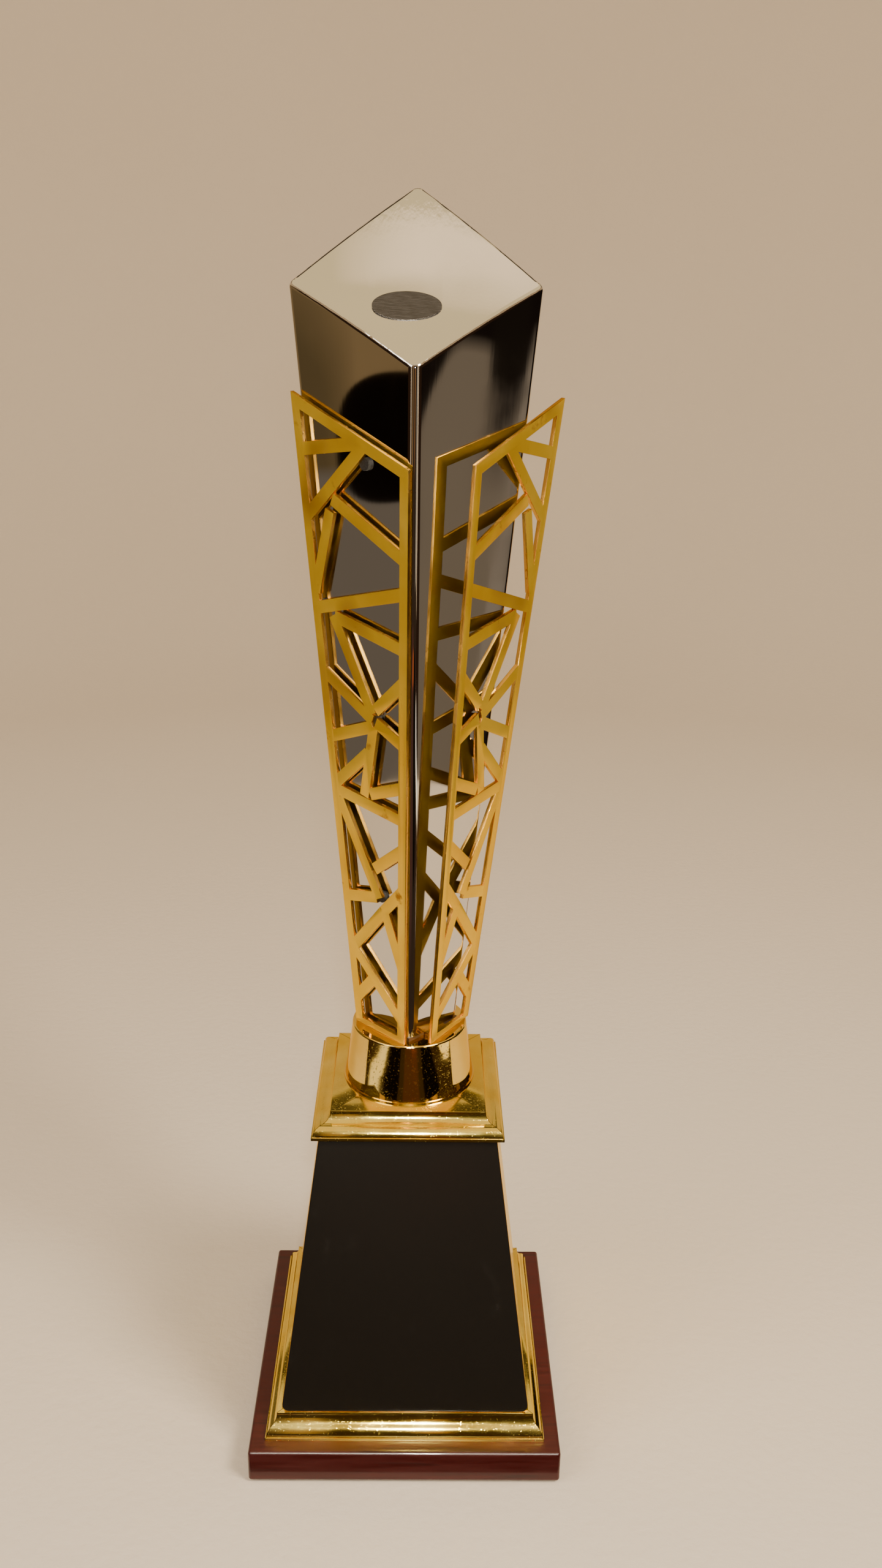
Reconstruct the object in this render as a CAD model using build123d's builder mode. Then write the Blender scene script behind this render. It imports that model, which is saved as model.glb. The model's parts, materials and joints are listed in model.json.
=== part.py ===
"""Column trophy: a mirror column with two cut-metal lattice panels, on a square pedestal and board.

Millimetres, +Z up. The origin is the centre of the underside, and the engraving plate faces -Y. The
column is square and turned 45 degrees, so one of its edges faces the front. One tie rod on the Z axis
clamps the whole stack, from the nut under the board to the insert in the foot of the column.
"""

import os
from math import atan, cos, radians, sin, sqrt, tan

from build123d import *

os.makedirs("parts", exist_ok=True)

# Board and its felt
board_side = 125.0
board_thickness = 14.0
board_edge_radius = 1.2
felt_thickness = 1.0
felt_margin = 4.0

# Foot moulding: an ogee frame that stands on the board
foot_margin = 6.3
foot_height = 10.0
foot_run = 4.5
foot_rim_height = 2.5
foot_rim_width = 2.5

# Ogee edge of both mouldings
lip_height = 1.3
lip_step = 0.5
arris_height = 0.8

# Pedestal: a tapered box, open below
pedestal_height = 118.0
pedestal_wall = 2.5
pedestal_web = 3.0
register_side = 40.0
register_height = 2.0

# Engraving plate and the adhesive sheet behind it
plate_thickness = 1.1
plate_overhang = 0.15
plate_bottom_corner_radius = 3.0
plate_top_corner_radius = 0.8
plate_top_gap = 0.3
adhesive_thickness = 0.2
adhesive_margin = 4.0
ledge_margin = 0.5

# Cap moulding
cap_height = 9.0
cap_run = 7.1
cap_overhang = 2.95
cap_land = 3.75

# Collar: a spun cone with a foot bead
collar_height = 24.0
collar_rim = 3.35
collar_flare = 3.15
collar_wall = 1.6
collar_web = 3.0
collar_bead_height = 1.0
collar_bead_width = 0.65

# Column: a tapered square shell with a sloping, slightly domed top
column_bottom_side = 27.4
column_top_side = 62.8
column_height = 280.0
column_wall = 1.5
column_edge_radius = 3.0
top_slope = 34.5
top_dome_radius = 400.0
top_edge_radius = 2.0

# Oval disc let into the sloping top, towards the front and a little to the left
disc_width = 23.0
disc_length = 15.5
disc_thickness = 1.0
disc_recess = 0.7
disc_forward = 18.5
disc_leftward = 3.0

# Plug and insert in the foot of the column
plug_height = 22.0
plug_chamfer = 1.5
insert_flange_diameter = 15.0
insert_flange_thickness = 1.2
insert_barrel_diameter = 8.0
insert_barrel_length = 9.0

# Lattice panels
sheet_thickness = 1.5
border_width = 4.0
bar_width = 4.6
panel_inner_drop = 31.5
panel_outer_drop = 38.5
panel_overhang = 0.0
panel_foot_trim = 1.2
panel_gap = 1.2
tab_edge = 1.5

# How the right panel stands: further off, turned, leaning out and fanned out
right_stand_off = 2.5
right_shift = 4.9
right_turn = 11.7
right_lean = 0.7
right_fan = 3.6

# Adhesive pads behind the left panel
pad_diameter = 4.4

# Tie rod, its nut and washers
rod_diameter = 6.0
rod_end = 1.0
rod_chamfer = 0.6
nut_across_flats = 10.0
nut_height = 5.0
washer_diameter = 18.0
washer_thickness = 1.6
lock_washer_diameter = 11.0
lock_washer_thickness = 1.5
lock_washer_gap = 1.2
counterbore_diameter = 22.0

# Board screws and panel screws
board_screw_diameter = 3.5
board_screw_head = 7.0
board_screw_bite = 6.5
board_screw_inset = 7.0
panel_screw_diameter = 2.5
panel_screw_head = 5.0
panel_screw_head_height = 2.0
panel_screw_bite = 11.0
panel_screw_edge = 1.6
screw_point = 1.2

# Clearances
rod_clearance = 0.25
thread_clearance = 0.05
register_clearance = 0.2
plug_clearance = 0.1
disc_clearance = 0.1
tab_clearance = 0.2
shim_margin = 0.3
shim_neck = 1.0

# The lattice, bar by bar: each end is (percent across from the front edge, percent up)
lattice_bars = (
    ((100, 92), (41, 99)),
    ((38, 99), (100, 82)),
    ((3, 86), (70, 88)),
    ((73, 86), (95, 72)),
    ((100, 69), (3, 81)),
    ((76, 70), (3, 72)),
    ((78, 70), (40, 58)),
    ((98, 60), (40, 57)),
    ((36, 59), (3, 67)),
    ((100, 49), (40, 56)),
    ((36, 57), (3, 56)),
    ((39, 56), (55, 43)),
    ((100, 41), (47, 51)),
    ((98, 41), (3, 43)),
    ((47, 44), (3, 49)),
    ((91, 40), (41, 26)),
    ((46, 31), (3, 38)),
    ((95, 23), (45, 26)),
    ((5, 30), (35, 24)),
    ((35, 24), (92, 14)),
    ((32, 24), (3, 14)),
    ((90, 14), (3, 4)),
    ((58, 10), (92, 5)),
)
pad_hubs = ((41, 96), (93, 70), (40, 57), (42, 26))

# Levels
board_top = felt_thickness + board_thickness
ledge_z = board_top + foot_height
cap_z = ledge_z + pedestal_height
cap_top = cap_z + cap_height
collar_top = cap_top + collar_height
column_z = collar_top + sheet_thickness
top_z = column_z + column_height
plug_top = column_z + plug_height

# Column faces
face_lean = atan((column_top_side - column_bottom_side) / 2 / column_height)
slope = radians(top_slope)
half_diagonal = column_bottom_side / sqrt(2)
diagonal_growth = tan(face_lean) * sqrt(2)
front_corner_rise = (column_height - tan(slope) * half_diagonal) / (1 + tan(slope) * diagonal_growth)
back_corner_rise = (column_height + tan(slope) * half_diagonal) / (1 - tan(slope) * diagonal_growth)
dome_drop = top_dome_radius - sqrt(top_dome_radius**2 - (column_top_side / sqrt(2)) ** 2)

# Widths of the stack, from the column down to the cap and from the board up to the pedestal
collar_top_radius = half_diagonal + collar_rim
collar_bottom_radius = collar_top_radius + collar_flare
cap_top_side = 2 * (collar_bottom_radius + collar_bead_width + cap_land)
cap_side = cap_top_side + 2 * cap_run
pedestal_top_side = cap_side - 2 * cap_overhang
foot_side = board_side - 2 * foot_margin
ledge_side = foot_side - 2 * foot_run
plate_stack = plate_thickness + adhesive_thickness
pedestal_bottom_side = ledge_side - 2 * (plate_stack + ledge_margin)
pedestal_inner_side = pedestal_bottom_side - 2 * pedestal_wall
pedestal_lean = atan((pedestal_bottom_side - pedestal_top_side) / 2 / pedestal_height)
foot_rim_side = pedestal_inner_side - 2 * (register_clearance + foot_rim_height * tan(pedestal_lean))
foot_opening_side = foot_rim_side - 2 * foot_rim_width
rod_hole = rod_diameter / 2 + rod_clearance

# Foot of the column: the plug, the panel screws in it, and the tabs around the screws
plug_bottom_side = column_bottom_side - 2 * (column_wall + plug_clearance)
panel_screw_hole = panel_screw_diameter / 2 + thread_clearance
tab_screw_reach = plug_bottom_side / 2 - panel_screw_edge - panel_screw_hole
tab_reach = tab_screw_reach - panel_screw_hole - tab_edge
tab_width = 2 * (tab_reach - 2 * tab_clearance - shim_neck)

square_sides = ((Plane.XZ, Mode.ADD), (Plane.YZ, Mode.INTERSECT))
diagonal_sides = (
    (Plane(origin=(0, 0, 0), x_dir=(1, 1, 0), z_dir=(1, -1, 0)), Mode.ADD),
    (Plane(origin=(0, 0, 0), x_dir=(-1, 1, 0), z_dir=(1, 1, 0)), Mode.INTERSECT),
)


def column_half_side(rise):
    """Half the width of the column at a height above its foot."""
    return column_bottom_side / 2 + rise * tan(face_lean)


def draw_ogee(bottom, height, lip_side, top_side):
    """Cross-section of a moulding: lip, step, round, hollow and arris, the same on both sides."""
    half_lip = lip_side / 2
    start = (half_lip - lip_step, bottom + lip_height)
    end = (top_side / 2, bottom + height - arris_height)
    middle = ((start[0] + end[0]) / 2, (start[1] + end[1]) / 2)
    run, rise = start[0] - end[0], end[1] - start[1]
    half_chord = sqrt(run**2 + rise**2) / 4
    sagitta = half_chord * tan(atan(run / rise) / 2)
    with BuildLine() as outline:
        Polyline((0, bottom), (half_lip, bottom), (half_lip, start[1]), start)
        SagittaArc(start, middle, -sagitta)
        SagittaArc(middle, end, sagitta)
        Polyline(end, (end[0], bottom + height), (0, bottom + height))
        mirror(about=Plane.YZ)
    make_face(outline.edges())


def draw_taper(bottom, top, bottom_side, top_side):
    """Cross-section of a square block that tapers from one side length to another."""
    with BuildLine() as outline:
        Polyline(
            (-bottom_side / 2, bottom),
            (bottom_side / 2, bottom),
            (top_side / 2, top),
            (-top_side / 2, top),
            close=True,
        )
    make_face(outline.edges())


def finish_part(part, name):
    """Labels a finished piece and writes it."""
    part.label = name
    export_step(part, f"parts/{name}.step")


# ---- Underside: felt, board and the lower end of the tie rod ----

with BuildPart() as felt_pad:
    with BuildSketch():
        Rectangle(board_side - 2 * felt_margin, board_side - 2 * felt_margin)
    extrude(amount=felt_thickness)
finish_part(felt_pad.part, "felt_pad")

board_screw_spacing = foot_side - 2 * board_screw_inset
board_screw_top = board_top + board_screw_bite
board_underside = Plane(origin=(0, 0, felt_thickness), x_dir=(1, 0, 0), z_dir=(0, 0, -1))
board_screw_sink = (board_screw_head - board_screw_diameter) / 2

with BuildPart() as plinth_board:
    with BuildSketch(Plane.XY.offset(felt_thickness)):
        Rectangle(board_side, board_side)
    extrude(amount=board_thickness)
    fillet(plinth_board.edges(), radius=board_edge_radius)
    with Locations(board_underside):
        CounterBoreHole(
            radius=rod_hole,
            counter_bore_radius=counterbore_diameter / 2,
            counter_bore_depth=washer_thickness + lock_washer_thickness + nut_height + rod_end,
            depth=board_thickness,
        )
    with Locations(board_underside):
        with GridLocations(board_screw_spacing, board_screw_spacing, 2, 2):
            CounterSinkHole(
                radius=board_screw_diameter / 2 + thread_clearance,
                counter_sink_radius=board_screw_head / 2 + thread_clearance,
                counter_sink_angle=90,
                depth=board_thickness,
            )
finish_part(plinth_board.part, "plinth_board")

rod_bottom = felt_thickness
nut_z = rod_bottom + rod_end
lock_washer_z = nut_z + nut_height
washer_z = lock_washer_z + lock_washer_thickness
rod_top = plug_top + insert_flange_thickness + rod_end

with BuildPart() as lower_nut:
    with BuildSketch(Plane.XY.offset(nut_z)):
        RegularPolygon(radius=nut_across_flats / 2, side_count=6, major_radius=False)
        Circle(rod_diameter / 2 + thread_clearance, mode=Mode.SUBTRACT)
    extrude(amount=nut_height)
finish_part(lower_nut.part, "lower_nut")

with BuildPart() as lock_washer:
    with BuildSketch(Plane.XY.offset(lock_washer_z)):
        Circle(lock_washer_diameter / 2)
        Circle(rod_hole, mode=Mode.SUBTRACT)
        Rectangle(
            lock_washer_diameter,
            lock_washer_gap,
            align=(Align.MIN, Align.CENTER),
            mode=Mode.SUBTRACT,
        )
    extrude(amount=lock_washer_thickness)
finish_part(lock_washer.part, "lock_washer")

with BuildPart() as plain_washer:
    with BuildSketch(Plane.XY.offset(washer_z)):
        Circle(washer_diameter / 2)
        Circle(rod_hole, mode=Mode.SUBTRACT)
    extrude(amount=washer_thickness)
finish_part(plain_washer.part, "plain_washer")

with BuildPart() as tie_rod:
    with BuildSketch(Plane.XY.offset(rod_bottom)):
        Circle(rod_diameter / 2)
    extrude(amount=rod_top - rod_bottom)
    chamfer(tie_rod.edges().filter_by(GeomType.CIRCLE), length=rod_chamfer)
finish_part(tie_rod.part, "tie_rod")

# ---- Pedestal: foot moulding, tapered body, plate and cap moulding ----

with BuildPart() as foot_moulding:
    for side, mode in square_sides:
        with BuildSketch(side):
            draw_ogee(board_top, foot_height, foot_side, ledge_side)
        extrude(amount=board_side, both=True, mode=mode)
    with BuildSketch(Plane.XY.offset(ledge_z)):
        Rectangle(foot_rim_side, foot_rim_side)
    extrude(amount=foot_rim_height)
    with BuildSketch(Plane.XY.offset(board_top)):
        Rectangle(foot_opening_side, foot_opening_side)
    extrude(amount=foot_height + foot_rim_height, mode=Mode.SUBTRACT)
    with BuildSketch(Plane.XY.offset(board_top)):
        with GridLocations(board_screw_spacing, board_screw_spacing, 2, 2):
            Circle(board_screw_diameter / 2 + thread_clearance)
    extrude(amount=board_screw_bite + screw_point, mode=Mode.SUBTRACT)
finish_part(foot_moulding.part, "foot_moulding")

with BuildPart() as board_screws:
    with BuildSketch(board_underside):
        with GridLocations(board_screw_spacing, board_screw_spacing, 2, 2):
            Circle(board_screw_diameter / 2)
    extrude(amount=-(board_screw_top - felt_thickness))
    with Locations(Plane.XY.offset(felt_thickness)):
        with GridLocations(board_screw_spacing, board_screw_spacing, 2, 2):
            Cone(
                bottom_radius=board_screw_head / 2,
                top_radius=board_screw_diameter / 2,
                height=board_screw_sink,
                align=(Align.CENTER, Align.CENTER, Align.MIN),
            )
finish_part(board_screws.part, "board_screws")

# The inside narrows with the outside, so the wall stays even up to the web
pedestal_web_z = cap_z - pedestal_web
web_inner_side = pedestal_inner_side - 2 * tan(pedestal_lean) * (pedestal_web_z - ledge_z)

with BuildPart() as pedestal_body:
    for side, mode in square_sides:
        with BuildSketch(side):
            draw_taper(ledge_z, cap_z, pedestal_bottom_side, pedestal_top_side)
        extrude(amount=board_side, both=True, mode=mode)
    with BuildSketch(Plane.XY.offset(ledge_z)):
        Rectangle(pedestal_inner_side, pedestal_inner_side)
    with BuildSketch(Plane.XY.offset(pedestal_web_z)):
        Rectangle(web_inner_side, web_inner_side)
    loft(mode=Mode.SUBTRACT)
    with BuildSketch(Plane.XY.offset(cap_z)):
        Rectangle(register_side, register_side)
    extrude(amount=register_height)
    with BuildSketch(Plane.XY.offset(pedestal_web_z)):
        Circle(rod_hole)
    extrude(amount=pedestal_web + register_height, mode=Mode.SUBTRACT)
finish_part(pedestal_body.part, "pedestal_body")

# The front face leans back: its own plane starts at its bottom edge
front_face = Plane(
    origin=(0, -pedestal_bottom_side / 2, ledge_z),
    x_dir=(1, 0, 0),
    z_dir=(0, -cos(pedestal_lean), sin(pedestal_lean)),
)
plate_height = (pedestal_height - plate_top_gap - plate_stack * sin(pedestal_lean)) / cos(pedestal_lean)
plate_narrowing = 2 * sin(pedestal_lean) * plate_height
plate_bottom_width = pedestal_bottom_side + 2 * plate_overhang
plate_top_width = plate_bottom_width - plate_narrowing

with BuildPart() as engraving_plate:
    with BuildSketch(front_face.offset(adhesive_thickness)) as plate_outline:
        draw_taper(0, plate_height, plate_bottom_width, plate_top_width)
        fillet(plate_outline.vertices().group_by(Axis.Y)[0], radius=plate_bottom_corner_radius)
        fillet(plate_outline.vertices().group_by(Axis.Y)[-1], radius=plate_top_corner_radius)
    extrude(amount=plate_thickness)
finish_part(engraving_plate.part, "engraving_plate")

with BuildPart() as plate_adhesive:
    with BuildSketch(front_face):
        draw_taper(
            adhesive_margin,
            plate_height - adhesive_margin,
            plate_bottom_width - 2 * adhesive_margin - 2 * sin(pedestal_lean) * adhesive_margin,
            plate_top_width - 2 * adhesive_margin + 2 * sin(pedestal_lean) * adhesive_margin,
        )
    extrude(amount=adhesive_thickness)
finish_part(plate_adhesive.part, "plate_adhesive")

with BuildPart() as cap_moulding:
    for side, mode in square_sides:
        with BuildSketch(side):
            draw_ogee(cap_z, cap_height, cap_side, cap_top_side)
        extrude(amount=board_side, both=True, mode=mode)
    with BuildSketch(Plane.XY.offset(cap_z)):
        Rectangle(register_side + 2 * register_clearance, register_side + 2 * register_clearance)
    extrude(amount=register_height + register_clearance, mode=Mode.SUBTRACT)
    with BuildSketch(Plane.XY.offset(cap_z)):
        Circle(rod_hole)
    extrude(amount=cap_height, mode=Mode.SUBTRACT)
finish_part(cap_moulding.part, "cap_moulding")

# ---- Collar ----

tab_planes = {
    "left": Plane(origin=(0, 0, collar_top), x_dir=(-1, -1, 0), z_dir=(0, 0, 1)),
    "right": Plane(origin=(0, 0, collar_top), x_dir=(1, -1, 0), z_dir=(0, 0, 1)),
}

with BuildPart() as collar:
    with BuildSketch(Plane.XZ):
        with BuildLine():
            bead_radius = collar_bottom_radius + collar_bead_width
            Polyline(
                (0, collar_top),
                (collar_top_radius, collar_top),
                (collar_bottom_radius, cap_top + collar_bead_height),
                (bead_radius, cap_top + collar_bead_height),
                (bead_radius, cap_top),
                (collar_bottom_radius - collar_wall, cap_top),
                (collar_top_radius - collar_wall, collar_top - collar_web),
                (0, collar_top - collar_web),
                close=True,
            )
        make_face()
    revolve(axis=Axis.Z)
    fillet(collar.edges().filter_by(GeomType.CIRCLE).sort_by(Axis.Z)[-1], radius=arris_height)
    with BuildSketch(Plane.XY.offset(collar_top)):
        Circle(rod_hole)
    extrude(amount=-collar_web, mode=Mode.SUBTRACT)
    for tab_plane in tab_planes.values():
        with BuildSketch(tab_plane):
            with Locations((tab_screw_reach, 0)):
                Circle(panel_screw_hole)
        extrude(amount=-collar_web, mode=Mode.SUBTRACT)
finish_part(collar.part, "collar")

# ---- Foot of the column: packing shim, plug, insert and panel screws ----

with BuildPart() as foot_shim:
    with BuildSketch(Plane.XY.offset(collar_top)):
        Rectangle(column_bottom_side - 2 * shim_margin, column_bottom_side - 2 * shim_margin, rotation=45)
        Circle(rod_hole, mode=Mode.SUBTRACT)
    extrude(amount=sheet_thickness)
    for tab_plane in tab_planes.values():
        with BuildSketch(tab_plane):
            with Locations((tab_reach - tab_clearance, 0)):
                Rectangle(
                    column_bottom_side,
                    tab_width + 2 * tab_clearance,
                    align=(Align.MIN, Align.CENTER),
                )
        extrude(amount=sheet_thickness, mode=Mode.SUBTRACT)
finish_part(foot_shim.part, "foot_shim")

plug_top_side = plug_bottom_side + 2 * plug_height * tan(face_lean)
panel_screw_depth = sheet_thickness + panel_screw_bite

with BuildPart() as column_plug:
    for side, mode in diagonal_sides:
        with BuildSketch(side):
            draw_taper(column_z, plug_top, plug_bottom_side, plug_top_side)
        extrude(amount=column_top_side, both=True, mode=mode)
    chamfer(
        column_plug.edges().filter_by(lambda edge: abs(edge.tangent_at(0).Z) > 0.5),
        length=plug_chamfer,
    )
    with BuildSketch(Plane.XY.offset(column_z)):
        Circle(rod_hole)
    extrude(amount=plug_height, mode=Mode.SUBTRACT)
    with BuildSketch(Plane.XY.offset(plug_top)):
        Circle(insert_barrel_diameter / 2 + thread_clearance)
    extrude(amount=-insert_barrel_length, mode=Mode.SUBTRACT)
    for tab_plane in tab_planes.values():
        with BuildSketch(tab_plane.offset(sheet_thickness)):
            with Locations((tab_screw_reach, 0)):
                Circle(panel_screw_hole)
        extrude(amount=panel_screw_bite + screw_point, mode=Mode.SUBTRACT)
finish_part(column_plug.part, "column_plug")

with BuildPart() as rod_insert:
    with BuildSketch(Plane.XY.offset(plug_top - insert_barrel_length)):
        Circle(insert_barrel_diameter / 2)
    extrude(amount=insert_barrel_length)
    with BuildSketch(Plane.XY.offset(plug_top)):
        Circle(insert_flange_diameter / 2)
    extrude(amount=insert_flange_thickness)
    with BuildSketch(Plane.XY.offset(plug_top - insert_barrel_length)):
        Circle(rod_diameter / 2 + thread_clearance)
    extrude(amount=insert_barrel_length + insert_flange_thickness, mode=Mode.SUBTRACT)
finish_part(rod_insert.part, "rod_insert")

with BuildPart() as panel_screws:
    for tab_plane in tab_planes.values():
        with BuildSketch(tab_plane.offset(-collar_web)):
            with Locations((tab_screw_reach, 0)):
                Circle(panel_screw_head / 2)
        extrude(amount=-panel_screw_head_height)
        with BuildSketch(tab_plane.offset(-collar_web)):
            with Locations((tab_screw_reach, 0)):
                Circle(panel_screw_diameter / 2)
        extrude(amount=collar_web + panel_screw_depth)
finish_part(panel_screws.part, "panel_screws")

# ---- Column shell and the disc in its top ----

# The hollow inside the shell stops one wall below the lowest line of the domed top
column_reach = 2 * column_height
slope_plane = Plane(origin=(0, 0, top_z), x_dir=(1, 0, 0), z_dir=(0, -sin(slope), cos(slope)))
core_top_side = 2 * (column_half_side(back_corner_rise) - column_wall)

with BuildPart() as column_core:
    with BuildSketch(Plane.XY.offset(column_z)):
        Rectangle(
            column_bottom_side - 2 * column_wall, column_bottom_side - 2 * column_wall, rotation=45
        )
    with BuildSketch(Plane.XY.offset(column_z + back_corner_rise)):
        Rectangle(core_top_side, core_top_side, rotation=45)
    loft()
    split(bisect_by=slope_plane.offset(-dome_drop - column_wall), keep=Keep.BOTTOM)

# A cylinder lying along the slope, whose top line is the ridge of the dome
dome_plane = Plane(origin=(0, 0, top_z), x_dir=(1, 0, 0), z_dir=(0, cos(slope), sin(slope)))
disc_plane = Plane(
    origin=slope_plane.origin - dome_plane.z_dir * disc_forward - dome_plane.x_dir * disc_leftward,
    x_dir=(1, 0, 0),
    z_dir=slope_plane.z_dir,
)

with BuildPart() as column_shell:
    for side, mode in diagonal_sides:
        with BuildSketch(side):
            draw_taper(
                column_z,
                column_z + back_corner_rise,
                column_bottom_side,
                2 * column_half_side(back_corner_rise),
            )
        extrude(amount=column_reach, both=True, mode=mode)
    fillet(
        column_shell.edges().filter_by(lambda edge: abs(edge.tangent_at(0).Z) > 0.5),
        radius=column_edge_radius,
    )
    with BuildSketch(dome_plane):
        with Locations((0, top_dome_radius)):
            Circle(top_dome_radius)
    extrude(amount=column_reach, both=True, mode=Mode.INTERSECT)
    fillet(column_shell.faces().sort_by(Axis.Z)[-1].edges(), radius=top_edge_radius)
    add(column_core.part, mode=Mode.SUBTRACT)
    with BuildSketch(disc_plane.offset(-disc_recess)):
        Ellipse(disc_width / 2 + disc_clearance, disc_length / 2 + disc_clearance)
    extrude(amount=disc_recess + disc_thickness, mode=Mode.SUBTRACT)
finish_part(column_shell.part, "column_shell")

with BuildPart() as top_disc:
    with BuildSketch(disc_plane.offset(-disc_recess)):
        Ellipse(disc_width / 2, disc_length / 2)
    extrude(amount=disc_thickness)
finish_part(top_disc.part, "top_disc")

# ---- Lattice panels ----

# Each face plane starts at the middle of the column's foot line on the collar, x across and y up
face_reach = column_bottom_side / 2 - sheet_thickness * tan(face_lean)
face_planes = {
    "left": Plane(
        origin=(-face_reach / sqrt(2), -face_reach / sqrt(2), collar_top),
        x_dir=(1, -1, 0),
        z_dir=(-cos(face_lean) / sqrt(2), -cos(face_lean) / sqrt(2), -sin(face_lean)),
    ),
    "right": Plane(
        origin=(face_reach / sqrt(2), -face_reach / sqrt(2), collar_top),
        x_dir=(1, 1, 0),
        z_dir=(cos(face_lean) / sqrt(2), -cos(face_lean) / sqrt(2), -sin(face_lean)),
    ),
}
sheet_planes = {
    "left": face_planes["left"].offset(panel_gap),
    "right": Plane(
        face_planes["right"].location
        * Location((right_shift, 0, right_stand_off), (right_lean, right_turn, -right_fan))
    ),
}
outward = {"left": -1, "right": 1}

# The panels' top edges stop below the column's, a little further below at the sides
inner_panel_height = (front_corner_rise + sheet_thickness) / cos(face_lean) - panel_inner_drop
outer_panel_height = (column_height + sheet_thickness) / cos(face_lean) - panel_outer_drop


def sheet_height(across):
    """Height of the sheet at a share of its width, from its front edge to its side edge."""
    return inner_panel_height + across * (outer_panel_height - inner_panel_height)


def sheet_point(across, height, hand):
    """A point of the sheet: a share of its width from the front edge, and a height up the sheet."""
    half_width = column_bottom_side / 2 + sin(face_lean) * height + panel_overhang
    return (hand * (2 * across - 1) * half_width, height)


def lattice_point(end, hand):
    """The point of a bar's end, which is given in percent across and percent up."""
    across = end[0] / 100
    return sheet_point(across, end[1] / 100 * sheet_height(across), hand)


def draw_lattice(hand):
    """The border of the sheet and the bars between its sides."""
    corners = [
        sheet_point(0, -panel_foot_trim, hand),
        sheet_point(1, -panel_foot_trim, hand),
        sheet_point(1, outer_panel_height, hand),
        sheet_point(0, inner_panel_height, hand),
    ]
    with BuildLine() as outline:
        Polyline(*corners, close=True)
    make_face(outline.edges())
    offset(amount=-border_width, kind=Kind.INTERSECTION, mode=Mode.SUBTRACT)
    for bar_start, bar_end in lattice_bars:
        with BuildLine() as bar:
            Line(lattice_point(bar_start, hand), lattice_point(bar_end, hand))
        trace(bar.edges(), line_width=bar_width)
    make_face(outline.edges(), mode=Mode.INTERSECT)


for hand_name, hand in outward.items():
    sheet_plane = sheet_planes[hand_name]
    with BuildPart() as lattice_panel:
        with BuildSketch(tab_planes[hand_name]):
            with Locations((tab_reach, 0)):
                Rectangle(column_bottom_side, tab_width, align=(Align.MIN, Align.CENTER))
            with Locations((tab_screw_reach, 0)):
                Circle(panel_screw_hole, mode=Mode.SUBTRACT)
        extrude(amount=sheet_thickness)
        split(bisect_by=sheet_plane.offset(sheet_thickness), keep=Keep.BOTTOM)
        with BuildSketch(sheet_plane):
            draw_lattice(hand)
        extrude(amount=sheet_thickness)
        split(bisect_by=Plane.XY.offset(collar_top), keep=Keep.TOP)
    finish_part(lattice_panel.part, f"lattice_panel_{hand_name}")

with BuildPart() as panel_pads:
    with BuildSketch(face_planes["left"]):
        with Locations(*(lattice_point(hub, outward["left"]) for hub in pad_hubs)):
            Circle(pad_diameter / 2)
    extrude(amount=panel_gap)
finish_part(panel_pads.part, "panel_pads")
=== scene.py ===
"""Column trophy: its finishes, its softened edges, and the studio that it stands in. Metres, +Z up."""

import json
from math import cos, radians, sin

import bpy
from mathutils import Matrix, Vector

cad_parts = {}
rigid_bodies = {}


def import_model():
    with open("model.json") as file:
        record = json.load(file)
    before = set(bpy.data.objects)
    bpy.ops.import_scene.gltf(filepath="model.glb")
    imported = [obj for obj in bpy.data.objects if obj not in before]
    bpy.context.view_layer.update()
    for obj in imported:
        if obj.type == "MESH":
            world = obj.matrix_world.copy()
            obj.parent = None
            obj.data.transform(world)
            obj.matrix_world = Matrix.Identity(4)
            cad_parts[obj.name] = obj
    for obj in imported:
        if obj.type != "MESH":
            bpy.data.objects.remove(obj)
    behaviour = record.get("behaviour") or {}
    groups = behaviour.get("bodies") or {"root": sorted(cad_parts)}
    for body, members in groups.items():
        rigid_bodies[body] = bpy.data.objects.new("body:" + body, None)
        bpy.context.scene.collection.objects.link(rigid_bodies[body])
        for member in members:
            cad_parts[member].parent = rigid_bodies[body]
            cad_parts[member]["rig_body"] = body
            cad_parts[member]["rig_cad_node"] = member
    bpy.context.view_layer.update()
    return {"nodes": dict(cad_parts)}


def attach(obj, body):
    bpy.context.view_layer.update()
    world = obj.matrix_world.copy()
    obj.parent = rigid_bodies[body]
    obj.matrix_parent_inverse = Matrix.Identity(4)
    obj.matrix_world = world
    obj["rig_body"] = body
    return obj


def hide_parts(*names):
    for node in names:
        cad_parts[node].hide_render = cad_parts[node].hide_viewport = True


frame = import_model()
nodes = frame["nodes"]

# Camera: where it stands, how it is turned, and its lens
CAMERA_PLACE = (0.0028, -0.4891, 0.4465)
CAMERA_DOWN = radians(19.2)
CAMERA_RIGHT = radians(0.97)
CAMERA_ROLL = radians(0.97)
CAMERA_LENS = 31.37

# Studio: a round floor that curves up into a wall, and cards at each side
FLOOR_RADIUS = 1.1
COVE_RADIUS = 0.7
COVE_STEPS = 12
WALL_TOP = 2.4
CARD_REACH = 0.5
CARD_MIDDLE = 0.36
FRONT_REACH = 0.85
CEILING_HEIGHT = 1.6
UPRIGHT = radians(90)

# Softened edges of the cut and moulded pieces
SHEET_EDGE = 0.00012
PLATE_EDGE = 0.00025
MOULDING_EDGE = 0.00015
SHARP_ANGLE = radians(30)
MERGE_DISTANCE = 0.000002
FLAT_ANGLE = radians(0.3)
SAME_WAY = 0.95

# Sizes of the patterns in the finishes
FINE_GRAIN = 1400.0
BRUSH_GRAIN = 700.0
SEAM_WIDTH = 0.00022

# Where the column's top is rippled: towards its back corner, from a depth and a height on
RIPPLE_DEPTH = (0.012, 0.034)
RIPPLE_HEIGHT = (0.455, 0.465)

# Height from which the gold sheet is more and more darkened in patches: painted dark reflections
DARK_REFLECTION_HEIGHT = (0.26, 0.36)


# ---- Camera, studio and lights ----


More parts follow.
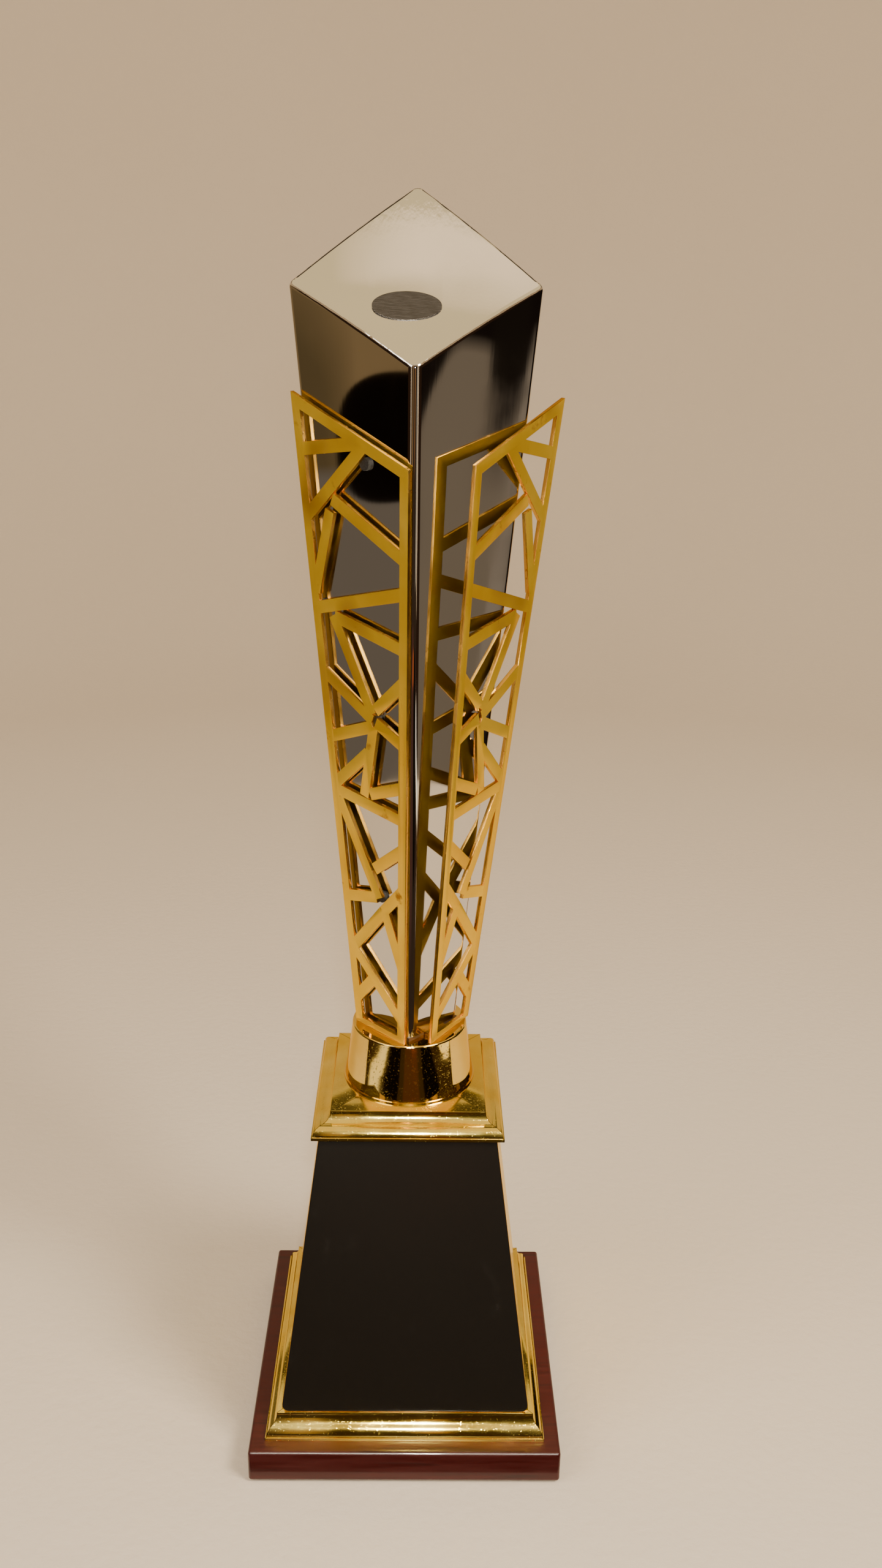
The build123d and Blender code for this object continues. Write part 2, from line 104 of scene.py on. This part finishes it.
def place_camera():
    """A camera in front of the trophy and above it, looking slightly down."""
    bpy.ops.object.camera_add()
    camera = bpy.context.object
    camera.name = "camera"
    camera.data.lens = CAMERA_LENS
    camera.data.sensor_width = 36
    camera.data.clip_start = 0.01
    turn = Matrix.Rotation(-CAMERA_RIGHT, 4, "Z")
    tilt = Matrix.Rotation(radians(90) - CAMERA_DOWN, 4, "X")
    roll = Matrix.Rotation(CAMERA_ROLL, 4, "Z")
    camera.matrix_world = Matrix.Translation(CAMERA_PLACE) @ turn @ tilt @ roll
    bpy.context.scene.camera = camera


def make_studio_floor():
    """A round pale floor whose rim curves up into a wall, with no corner to see."""
    bpy.ops.mesh.primitive_circle_add(vertices=96, radius=FLOOR_RADIUS, fill_type="NGON")
    floor = bpy.context.object
    floor.name = "studio_floor"
    bpy.ops.object.mode_set(mode="EDIT")
    bpy.ops.mesh.select_mode(type="EDGE")
    radius, height = FLOOR_RADIUS, 0.0
    bends = [radians(90) * step / COVE_STEPS for step in range(1, COVE_STEPS + 1)]
    rings = [(FLOOR_RADIUS + COVE_RADIUS * sin(bend), COVE_RADIUS * (1 - cos(bend))) for bend in bends]
    rings.append((FLOOR_RADIUS + COVE_RADIUS, WALL_TOP))
    for ring_radius, ring_height in rings:
        bpy.ops.mesh.extrude_edges_move()
        bpy.ops.transform.translate(value=(0, 0, ring_height - height))
        bpy.ops.transform.resize(value=(ring_radius / radius, ring_radius / radius, 1))
        radius, height = ring_radius, ring_height
    bpy.ops.mesh.select_all(action="SELECT")
    bpy.ops.mesh.normals_make_consistent(inside=True)
    bpy.ops.object.mode_set(mode="OBJECT")
    bpy.ops.object.shade_smooth()
    return floor


def hang_card(name, size, place, turn, finish):
    """A glowing card that only the polished pieces see, as a studio's reflectors and flags are used; its
    colours are painted reflections.
    """
    bpy.ops.mesh.primitive_plane_add(size=1, location=place, rotation=turn)
    card = bpy.context.object
    card.name = name
    card.scale = (size[0], size[1], 1)
    bpy.ops.object.transform_apply(location=True, rotation=True, scale=True)
    card.data.materials.append(finish)
    card.visible_camera = False
    card.visible_diffuse = False
    card.visible_shadow = False


def hang_light(name, place, target, size, power, tint):
    """A square soft light that faces a point."""
    bpy.ops.object.light_add(type="AREA", location=place)
    light = bpy.context.object
    light.name = name
    light.rotation_euler = (Vector(target) - Vector(place)).to_track_quat("-Z", "Y").to_euler()
    light.data.size = size
    light.data.energy = power
    light.data.color = tint


# ---- Building blocks of the finishes ----


class Finish:
    """A material: one Principled shader, and short calls for the nodes that feed it."""

    def __init__(self, name, **settings):
        self.material = bpy.data.materials.new(name)
        self.material.use_nodes = True
        self.tree = self.material.node_tree
        self.shader = self.tree.nodes["Principled BSDF"]
        self.place = self.tree.nodes.new("ShaderNodeTexCoord").outputs["Object"]
        for socket, value in settings.items():
            self.shader.inputs[socket.replace("_", " ")].default_value = value

    def feed(self, node, **inputs):
        """Gives a node its inputs, which are numbers or other nodes' outputs."""
        for key, value in inputs.items():
            socket = node.inputs[int(key[1:])] if key[1:].isdigit() else node.inputs[key.replace("_", " ")]
            if isinstance(value, bpy.types.NodeSocket):
                self.tree.links.new(value, socket)
            else:
                socket.default_value = value
        return node

    def add(self, kind, **inputs):
        """A new node of a kind, with its inputs."""
        return self.feed(self.tree.nodes.new(kind), **inputs)

    def vector_math(self, operation, *vectors):
        """A new node that works on one or two vectors."""
        node = self.tree.nodes.new("ShaderNodeVectorMath")
        node.operation = operation
        return self.feed(node, **{f"i{place}": vector for place, vector in enumerate(vectors)})

    def noise(self, scale, stretch=(1, 1, 1), detail=3.0, soft=0.5, turn=(0, 0, 0)):
        """A noise between 0 and 1, with its scale in waves per metre."""
        mapped = self.add("ShaderNodeMapping", Vector=self.place, Scale=stretch, Rotation=turn)
        grain = self.add(
            "ShaderNodeTexNoise", Vector=mapped.outputs[0], Scale=scale, Detail=detail, Roughness=soft
        )
        return grain.outputs[0]

    def spread(self, value, low, high, start=0.0, end=1.0):
        """Stretches the part of a value from low to high onto start to end."""
        node = self.add("ShaderNodeMapRange", Value=value, i1=low, i2=high, i3=start, i4=end)
        return node.outputs[0]

    def blend(self, share, first, second):
        """Two colours, mixed by a share from 0 to 1."""
        node = self.tree.nodes.new("ShaderNodeMix")
        node.data_type = "RGBA"
        return self.feed(node, i0=share, i6=first, i7=second).outputs[2]

    def math(self, first, second, operation="ADD"):
        """Adds two values, or puts them through another operation."""
        node = self.tree.nodes.new("ShaderNodeMath")
        node.operation = operation
        return self.feed(node, i0=first, i1=second).outputs[0]

    def part_of_place(self):
        """The three coordinates of a point on the piece."""
        return self.add("ShaderNodeSeparateXYZ", Vector=self.place).outputs

    def relief(self, *layers):
        """Bumps laid over each other, each given as its height from 0 to 1 and its depth in metres."""
        normal = None
        for height, painted_shade_scale in layers:
            bump = self.add("ShaderNodeBump", Height=height, Distance=painted_shade_scale, Strength=1.0)
            if normal is not None:
                self.feed(bump, Normal=normal)
            normal = bump.outputs[0]
        self.feed(self.shader, Normal=normal)

    def paint(self, **inputs):
        """Feeds the shader's own sockets."""
        self.feed(self.shader, **inputs)
        return self.material


def colour(red, green, blue):
    return (red, green, blue, 1.0)


# ---- Finishes ----


def make_mirror_chrome():
    """Polished column: slightly wavy, with faint haze, polishing lines and ripples at its top back corner."""
    finish = Finish("mirror_chrome", Metallic=1.0)
    haze = finish.spread(finish.noise(22, detail=4), 0.5, 0.8)
    lines = finish.noise(BRUSH_GRAIN, stretch=(1, 1, 0.02))
    wipe = finish.spread(lines, 0.35, 0.75, 0.0, 0.05)
    roughness = finish.math(finish.spread(haze, 0, 1, 0.035, 0.12), finish.math(wipe, haze, "MULTIPLY"))
    tint = finish.blend(finish.noise(9), colour(0.62, 0.60, 0.57), colour(0.74, 0.72, 0.69))
    _, y, z = finish.part_of_place()
    rippled = finish.math(finish.spread(y, *RIPPLE_DEPTH), finish.spread(z, *RIPPLE_HEIGHT), "MULTIPLY")
    ripples = finish.math(finish.noise(520, stretch=(1, 0.35, 0.35), detail=2), rippled, "MULTIPLY")
    finish.relief((finish.noise(16, detail=1), 0.0005), (lines, 0.0000012), (ripples, 0.00004))
    return finish.paint(Base_Color=tint, Roughness=roughness)


def make_gold(name, rich, pale, smooth, dull, seams=False):
    """Gold plating: cloudy polish, fine pitting, and dark lines where mitred mouldings meet."""
    finish = Finish(name, Metallic=1.0, Specular_Tint=colour(1.0, 0.80, 0.42))
    cloud = finish.noise(60, detail=5)
    tint = finish.blend(finish.spread(cloud, 0.35, 0.7), rich, pale)
    pits = finish.spread(finish.noise(FINE_GRAIN, detail=2), 0.62, 0.72)
    roughness = finish.math(finish.spread(cloud, 0.3, 0.75, smooth, dull), finish.spread(pits, 0, 1, 0, 0.15))
    if seams:
        x, y, _ = finish.part_of_place()
        across = finish.math(finish.math(x, 0, "ABSOLUTE"), finish.math(y, 0, "ABSOLUTE"), "SUBTRACT")
        off_seam = finish.spread(finish.math(across, 0, "ABSOLUTE"), 0.4 * SEAM_WIDTH, SEAM_WIDTH)
        tint = finish.blend(off_seam, colour(0.09, 0.035, 0.01), tint)
    finish.relief((finish.noise(35, detail=2), 0.0002), (finish.noise(500), 0.000006), (pits, -0.00001))
    return finish.paint(Base_Color=tint, Roughness=roughness)


def make_gold_sheet(name, metal, painted_shade_scale):
    """Gold-lacquered sheet: satin amber, with faint lines, small tarnished spots and darker patches higher
    up, which are painted dark reflections.
    """
    finish = Finish(name, Metallic=metal, Specular_IOR_Level=0.1, Specular_Tint=colour(1.0, 0.72, 0.30))
    lines = finish.noise(BRUSH_GRAIN, stretch=(1, 1, 0.03))
    cloud = finish.noise(28, detail=3)
    spots = finish.spread(finish.noise(150, detail=4), 0.68, 0.78)
    # Both colours are scaled by the last argument; below 1 this paints shade into the colour
    rich = colour(0.67 * painted_shade_scale, 0.39 * painted_shade_scale, 0.02 * painted_shade_scale)
    pale = colour(0.86 * painted_shade_scale, 0.56 * painted_shade_scale, 0.05 * painted_shade_scale)
    tint = finish.blend(finish.spread(cloud, 0.3, 0.7), rich, pale)
    _, _, z = finish.part_of_place()
    # Higher up, patches of the sheet are painted dark brown: painted dark reflections
    patches = finish.spread(finish.noise(24, detail=2), 0.52, 0.66)
    painted_reflection_patches = finish.math(patches, finish.spread(z, *DARK_REFLECTION_HEIGHT, 0, 0.75), "MULTIPLY")
    tint = finish.blend(painted_reflection_patches, tint, colour(0.28, 0.11, 0.012))
    tint = finish.blend(spots, tint, colour(0.34, 0.15, 0.02))
    roughness = finish.math(finish.spread(lines, 0.2, 0.8, 0.27, 0.31), finish.spread(spots, 0, 1, 0, 0.15))
    finish.relief((finish.noise(30, detail=1), 0.00015), (lines, 0.0000003))
    return finish.paint(Base_Color=tint, Roughness=roughness)


def make_cut_edge():
    """Cut edge of the gold sheet: brighter, with small nicks left by the cut."""
    finish = Finish("gold_cut_edge", Metallic=1.0, Specular_Tint=colour(1.0, 0.72, 0.30))
    cloud = finish.noise(90, detail=3)
    nicks = finish.spread(finish.noise(650, detail=3), 0.66, 0.74)
    tint = finish.blend(cloud, colour(0.55, 0.28, 0.04), colour(0.78, 0.46, 0.10))
    tint = finish.blend(nicks, tint, colour(0.30, 0.12, 0.02))
    finish.relief((cloud, 0.00005), (nicks, -0.00001))
    return finish.paint(Base_Color=tint, Roughness=finish.spread(cloud, 0.3, 0.7, 0.18, 0.3))


def make_board_lacquer():
    """Dark red stained wood under gloss lacquer, with the grain just showing."""
    finish = Finish(
        "board_lacquer", Coat_Weight=0.45, Coat_Roughness=0.05, Coat_IOR=1.4, Specular_IOR_Level=0.25
    )
    grain = finish.noise(34, stretch=(1, 14, 14), detail=6, soft=0.6)
    pores = finish.spread(finish.noise(300, stretch=(0.06, 1, 1), detail=2), 0.6, 0.7)
    tint = finish.blend(
        finish.spread(grain, 0.35, 0.65), colour(0.036, 0.0015, 0.001), colour(0.054, 0.0025, 0.0015)
    )
    tint = finish.blend(pores, tint, colour(0.026, 0.002, 0.001))
    finish.relief((finish.noise(90, detail=2), 0.00008), (pores, -0.00001))
    return finish.paint(Base_Color=tint, Roughness=finish.spread(grain, 0.3, 0.7, 0.3, 0.5))


def make_black_plate():
    """Black lacquered plate: smooth, with a fine satin grain and a few handling marks."""
    finish = Finish("black_plate", Specular_IOR_Level=0.35)
    grain = finish.noise(FINE_GRAIN, detail=2)
    marks = finish.spread(finish.noise(45, stretch=(1, 1, 0.6), detail=6, soft=0.65), 0.6, 0.8)
    tint = finish.blend(marks, colour(0.009, 0.0075, 0.006), colour(0.013, 0.011, 0.009))
    finish.relief((finish.noise(12, detail=1), 0.0001), (grain, 0.000003))
    return finish.paint(Base_Color=tint, Roughness=finish.spread(marks, 0, 1, 0.22, 0.36))


def make_disc_grey():
    """Dark grey disc with a brushed grain across it."""
    finish = Finish("disc_grey", Metallic=0.4)
    lines = finish.noise(2600, stretch=(0.12, 1, 1), detail=3, turn=(0, 0, radians(60)))
    tint = finish.blend(
        finish.spread(lines, 0.35, 0.65), colour(0.022, 0.018, 0.015), colour(0.042, 0.035, 0.030)
    )
    finish.relief((lines, 0.000004))
    return finish.paint(Base_Color=tint, Roughness=finish.spread(lines, 0.3, 0.7, 0.38, 0.55))


def make_felt():
    """Short dark felt."""
    finish = Finish("felt", Sheen_Weight=0.5, Sheen_Roughness=0.5)
    fibre = finish.noise(2500, detail=4, soft=0.7)
    tint = finish.blend(fibre, colour(0.012, 0.016, 0.013), colour(0.045, 0.055, 0.048))
    finish.relief((fibre, 0.0002))
    return finish.paint(Base_Color=tint, Roughness=finish.spread(fibre, 0, 1, 0.85, 1.0))


def make_zinc_steel():
    """Zinc-plated fasteners: cloudy, faintly blue and yellow."""
    finish = Finish("zinc_steel", Metallic=1.0)
    cloud = finish.noise(300, detail=4)
    tint = finish.blend(
        finish.spread(cloud, 0.35, 0.65), colour(0.52, 0.54, 0.56), colour(0.68, 0.66, 0.56)
    )
    finish.relief((finish.noise(FINE_GRAIN), 0.00001))
    return finish.paint(Base_Color=tint, Roughness=finish.spread(cloud, 0.3, 0.7, 0.28, 0.46))


def make_packing():
    """Dark brown moulded plastic with a fine spark grain."""
    finish = Finish("packing", Specular_IOR_Level=0.15)
    grain = finish.noise(1800, detail=3)
    tint = finish.blend(finish.noise(50), colour(0.035, 0.016, 0.007), colour(0.055, 0.026, 0.011))
    finish.relief((grain, 0.00003))
    return finish.paint(Base_Color=tint, Roughness=finish.spread(grain, 0.3, 0.7, 0.45, 0.65))


def make_adhesive(name, dark, pale, cell, shine):
    """Soft adhesive film or foam, with its open cells."""
    finish = Finish(name, Specular_IOR_Level=shine)
    cells = finish.noise(cell, detail=2)
    tint = finish.blend(finish.spread(cells, 0.35, 0.65), dark, pale)
    finish.relief((cells, 0.00004))
    return finish.paint(Base_Color=tint, Roughness=finish.spread(cells, 0, 1, 0.6, 0.85))


def make_studio_paint():
    """Pale matt paint with a faint roller texture."""
    finish = Finish("studio_paint")
    roller = finish.noise(220, detail=3)
    tint = finish.blend(finish.noise(3), colour(0.66, 0.56, 0.43), colour(0.69, 0.59, 0.46))
    finish.relief((roller, 0.0004))
    return finish.paint(Base_Color=tint, Roughness=finish.spread(roller, 0, 1, 0.7, 0.9))


def make_card_finish(name, base, patches):
    """A glowing card: a base colour under patches, each a middle, a half size, a softness and a colour.

    A patch is a square with rounded corners, and has no limit along an axis whose half size is 0.
    """
    finish = Finish(name, Specular_IOR_Level=0.0, Roughness=1.0, Emission_Strength=1.0)
    finish.paint(Base_Color=colour(0, 0, 0))
    shade = base
    for middle, half_size, soft, patch in patches:
        scale = [1 / half if half else 0.0 for half in half_size]
        shift = [-centre * factor for centre, factor in zip(middle, scale)]
        moved = finish.add("ShaderNodeMapping", Vector=finish.place, Scale=scale, Location=shift).outputs[0]
        squared = finish.vector_math("MULTIPLY", moved, moved).outputs[0]
        away = finish.vector_math("LENGTH", squared).outputs["Value"]
        shade = finish.blend(finish.spread(away, 1 + soft, 1 - soft), shade, patch)
    return finish.paint(Emission_Color=shade)


# ---- Pieces with softened edges ----


def copy_piece(name, node_name):
    """A copy of a CAD node's mesh as a new piece, with its doubled points merged and its flats whole."""
    bpy.ops.object.select_all(action="DESELECT")
    piece = nodes[node_name].copy()
    piece.data = nodes[node_name].data.copy()
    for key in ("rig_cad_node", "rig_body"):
        if key in piece:
            del piece[key]
    piece.parent = None
    bpy.context.scene.collection.objects.link(piece)
    piece.select_set(True)
    bpy.context.view_layer.objects.active = piece
    piece.name = name
    piece.data.name = name
    bpy.ops.object.mode_set(mode="EDIT")
    bpy.ops.mesh.select_all(action="SELECT")
    bpy.ops.mesh.customdata_custom_splitnormals_clear()
    bpy.ops.mesh.remove_doubles(threshold=MERGE_DISTANCE)
    bpy.ops.mesh.dissolve_limited(angle_limit=FLAT_ANGLE)
    bpy.ops.object.mode_set(mode="OBJECT")
    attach(piece, "root")
    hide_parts(node_name)
    return piece


def soften_edges(piece, width, segments=2):
    """Rounds every sharp edge a little, so that it catches the light."""
    bevel = piece.modifiers.new("soft_edges", "BEVEL")
    bevel.width = width
    bevel.segments = segments
    bevel.limit_method = "ANGLE"
    bevel.angle_limit = SHARP_ANGLE
    bpy.context.view_layer.objects.active = piece
    bpy.ops.object.modifier_apply(modifier=bevel.name)
    bpy.ops.object.shade_smooth_by_angle(angle=SHARP_ANGLE)


def finish_sheet(piece, front_finish, back_finish, edge_finish):
    """Finishes for the front, the back and all the cut edges of a flat piece that faces forwards."""
    widest = max(piece.data.polygons, key=lambda face: face.area)
    forwards = widest.normal.copy()
    if forwards.y > 0:
        forwards.negate()
    piece.data.materials.clear()
    for finish in (front_finish, back_finish, edge_finish):
        piece.data.materials.append(finish)
    for face in piece.data.polygons:
        facing = face.normal.dot(forwards)
        if facing > SAME_WAY:
            face.material_index = 0
        elif facing < -SAME_WAY:
            face.material_index = 1
        else:
            face.material_index = 2


def wear(piece, finish):
    """Gives a piece one finish all over."""
    piece.data.materials.clear()
    piece.data.materials.append(finish)


# ---- The studio ----

place_camera()
studio_floor = make_studio_floor()
studio_floor.data.materials.append(make_studio_paint())

world = bpy.data.worlds.new("studio_air")
bpy.context.scene.world = world
world.use_nodes = True
air = world.node_tree.nodes["Background"]
air.inputs["Color"].default_value = colour(0.85, 0.74, 0.58)
air.inputs["Strength"].default_value = 0.8

hang_light(
    "key_light", place=(0.80, -0.60, 1.30), target=(0, 0, 0.2), size=0.45, power=24, tint=(1.0, 0.90, 0.76)
)
hang_light(
    "fill_light", place=(-1.0, -0.7, 1.0), target=(0, 0, 0.25), size=0.8, power=9, tint=(1.0, 0.93, 0.84)
)
hang_light(
    "camera_light",
    place=(0.012, -0.50, 0.49),
    target=(0, 0, 0.15),
    size=0.02,
    power=1.6,
    tint=(1.0, 0.95, 0.86),
)

# What the polished pieces reflect: glowing cards painted as a warm dark room with pale stripes and black
# shapes, which are painted reflections
reflected_black_shape = colour(0.004, 0.002, 0.001)
reflected_room = colour(0.045, 0.026, 0.015)
reflected_dark_front = colour(0.03, 0.014, 0.007)
hang_card(
    "left_card",
    (0.9, 0.6),
    (-CARD_REACH, 0.0, CARD_MIDDLE),
    (UPRIGHT, 0, UPRIGHT),
    make_card_finish(
        "left_card_glow",
        colour(0.235, 0.148, 0.064),
        [
            ((-CARD_REACH, 0.06, 0.30), (0, 0.045, 0.12), 0.5, colour(0.11, 0.072, 0.030)),
            ((-CARD_REACH, 0.0, 0.10), (0, 0.6, 0.20), 0.05, colour(0.16, 0.125, 0.09)),
            ((-CARD_REACH, -0.055, 0.318), (0, 0.075, 0.045), 0.03, reflected_black_shape),
            ((-CARD_REACH, -0.30, CARD_MIDDLE), (0, 0.26, 0.6), 0.05, reflected_dark_front),
        ],
    ),
)
hang_card(
    "right_card",
    (0.9, 0.6),
    (CARD_REACH, 0.0, CARD_MIDDLE),
    (UPRIGHT, 0, -UPRIGHT),
    make_card_finish(
        "right_card_glow",
        colour(0.010, 0.006, 0.004),
        [
            ((CARD_REACH, 0.0, 0.12), (0, 0.031, 0.263), 0.05, colour(0.20, 0.15, 0.10)),
            ((CARD_REACH, 0.0185, 0.41), (0, 0.0065, 0.11), 0.35, colour(0.012, 0.008, 0.005)),
            ((CARD_REACH, 0.032, 0.18), (0, 0.0055, 0.205), 0.2, colour(0.27, 0.21, 0.15)),
            ((CARD_REACH, -0.30, CARD_MIDDLE), (0, 0.26, 0.6), 0.04, reflected_dark_front),
        ],
    ),
)
hang_card(
    "front_card",
    (1.4, 1.0),
    (0, -FRONT_REACH, 0.5),
    (UPRIGHT, 0, 0),
    make_card_finish(
        "front_card_glow",
        reflected_room,
        [
            ((-0.32, -FRONT_REACH, 0.5), (0.07, 0, 0.6), 0.2, colour(0.36, 0.20, 0.08)),
            ((0.07, -FRONT_REACH, 0.30), (0.045, 0, 0.14), 0.3, colour(0.50, 0.22, 0.07)),
            ((0.50, -FRONT_REACH, 0.5), (0.045, 0, 0.6), 0.2, colour(1.0, 0.86, 0.62)),
        ],
    ),
)
hang_card(
    "front_floor_card",
    (1.4, 0.785),
    (0, -0.4575, 0.003),
    (0, 0, 0),
    make_card_finish(
        "front_floor_card_glow",
        reflected_room,
        [
            ((0.04, -0.62, 0.0), (0.13, 0.30, 0), 0.2, colour(0.085, 0.035, 0.024)),
            ((0.12, -0.74, 0.0), (0.06, 0.05, 0), 0.3, colour(0.90, 0.16, 0.03)),
            ((-0.27, -0.52, 0.0), (0.10, 0.26, 0), 0.15, reflected_black_shape),
            ((0.33, -0.50, 0.0), (0.09, 0.24, 0), 0.15, reflected_black_shape),
            ((-0.45, -0.38, 0.0), (0.045, 0.24, 0), 0.2, colour(1.3, 1.1, 0.8)),
            ((0.56, -0.26, 0.0), (0.045, 0.18, 0), 0.2, colour(1.9, 1.6, 1.2)),
        ],
    ),
)
# A tiny, very bright glowing card that only polished pieces see: a painted glint on the mouldings
glint = make_card_finish("glint_card_glow", colour(9000, 8200, 6600), [])
hang_card("glint_card", (0.03, 0.03), (0.012, -0.50, 0.50), (radians(65), 0, 0), glint)
# Glowing back and ceiling cards: painted reflections, the ceiling one with a warm patch as a painted lamp
# reflection on the column's top
hang_card(
    "back_card",
    (2.4, 0.5),
    (0, 1.0, 1.37),
    (UPRIGHT, 0, 0),
    make_card_finish("back_card_glow", colour(0.06, 0.045, 0.03), []),
)
hang_card(
    "ceiling_card",
    (2.4, 2.4),
    (0, 0.4, CEILING_HEIGHT),
    (0, 0, 0),
    make_card_finish(
        "ceiling_card_glow",
        colour(1.12, 0.84, 0.44),
        [
            ((0.10, 0.49, CEILING_HEIGHT), (0.22, 0.035, 0), 0.8, colour(1.8, 1.34, 0.82)),
            ((-0.16, 0.60, CEILING_HEIGHT), (0.10, 0.05, 0), 0.9, colour(0.92, 0.70, 0.38)),
        ],
    ),
)

# ---- The trophy ----

chrome = make_mirror_chrome()
moulding_gold = make_gold(
    "gold_plate", colour(0.79, 0.57, 0.09), colour(0.91, 0.74, 0.20), 0.08, 0.18, seams=True
)
pedestal_gold = make_gold("gold_pedestal", colour(0.79, 0.57, 0.10), colour(0.90, 0.73, 0.21), 0.18, 0.28)
collar_gold = make_gold("gold_collar", colour(0.84, 0.58, 0.13), colour(0.92, 0.68, 0.20), 0.03, 0.08)
sheet_front = make_gold_sheet("gold_sheet", 0.75, 1.0)
# The back of the sheet, which faces the column, is painted darker (0.4): painted shade
sheet_back = make_gold_sheet("gold_sheet_back", 1.0, 0.4)
gold_cut = make_cut_edge()
zinc = make_zinc_steel()
packing = make_packing()
black = make_black_plate()

for hand in ("left", "right"):
    panel = copy_piece(f"lattice_{hand}", f"lattice_panel_{hand}")
    soften_edges(panel, SHEET_EDGE)
    finish_sheet(panel, sheet_front, sheet_back, gold_cut)

plate = copy_piece("plate", "engraving_plate")
soften_edges(plate, PLATE_EDGE, 3)
finish_sheet(plate, black, black, gold_cut)

for name in ("foot_moulding", "cap_moulding"):
    moulding = copy_piece(name + "_piece", name)
    soften_edges(moulding, MOULDING_EDGE)
    wear(moulding, moulding_gold)

film = make_adhesive("adhesive_film", colour(0.55, 0.53, 0.45), colour(0.70, 0.68, 0.60), 900, 0.5)
foam = make_adhesive("foam_tape", colour(0.008, 0.006, 0.005), colour(0.018, 0.015, 0.012), 2200, 0.1)
finishes = {
    "pedestal_body": pedestal_gold,
    "collar": collar_gold,
    "column_shell": chrome,
    "top_disc": make_disc_grey(),
    "plinth_board": make_board_lacquer(),
    "felt_pad": make_felt(),
    "plate_adhesive": film,
    "panel_pads": foam,
    "foot_shim": packing,
    "column_plug": packing,
}
rod_pieces = ("tie_rod", "lower_nut", "lock_washer", "plain_washer", "rod_insert")
for name in rod_pieces + ("panel_screws", "board_screws"):
    finishes[name] = zinc
for name, finish in finishes.items():
    wear(nodes[name], finish)
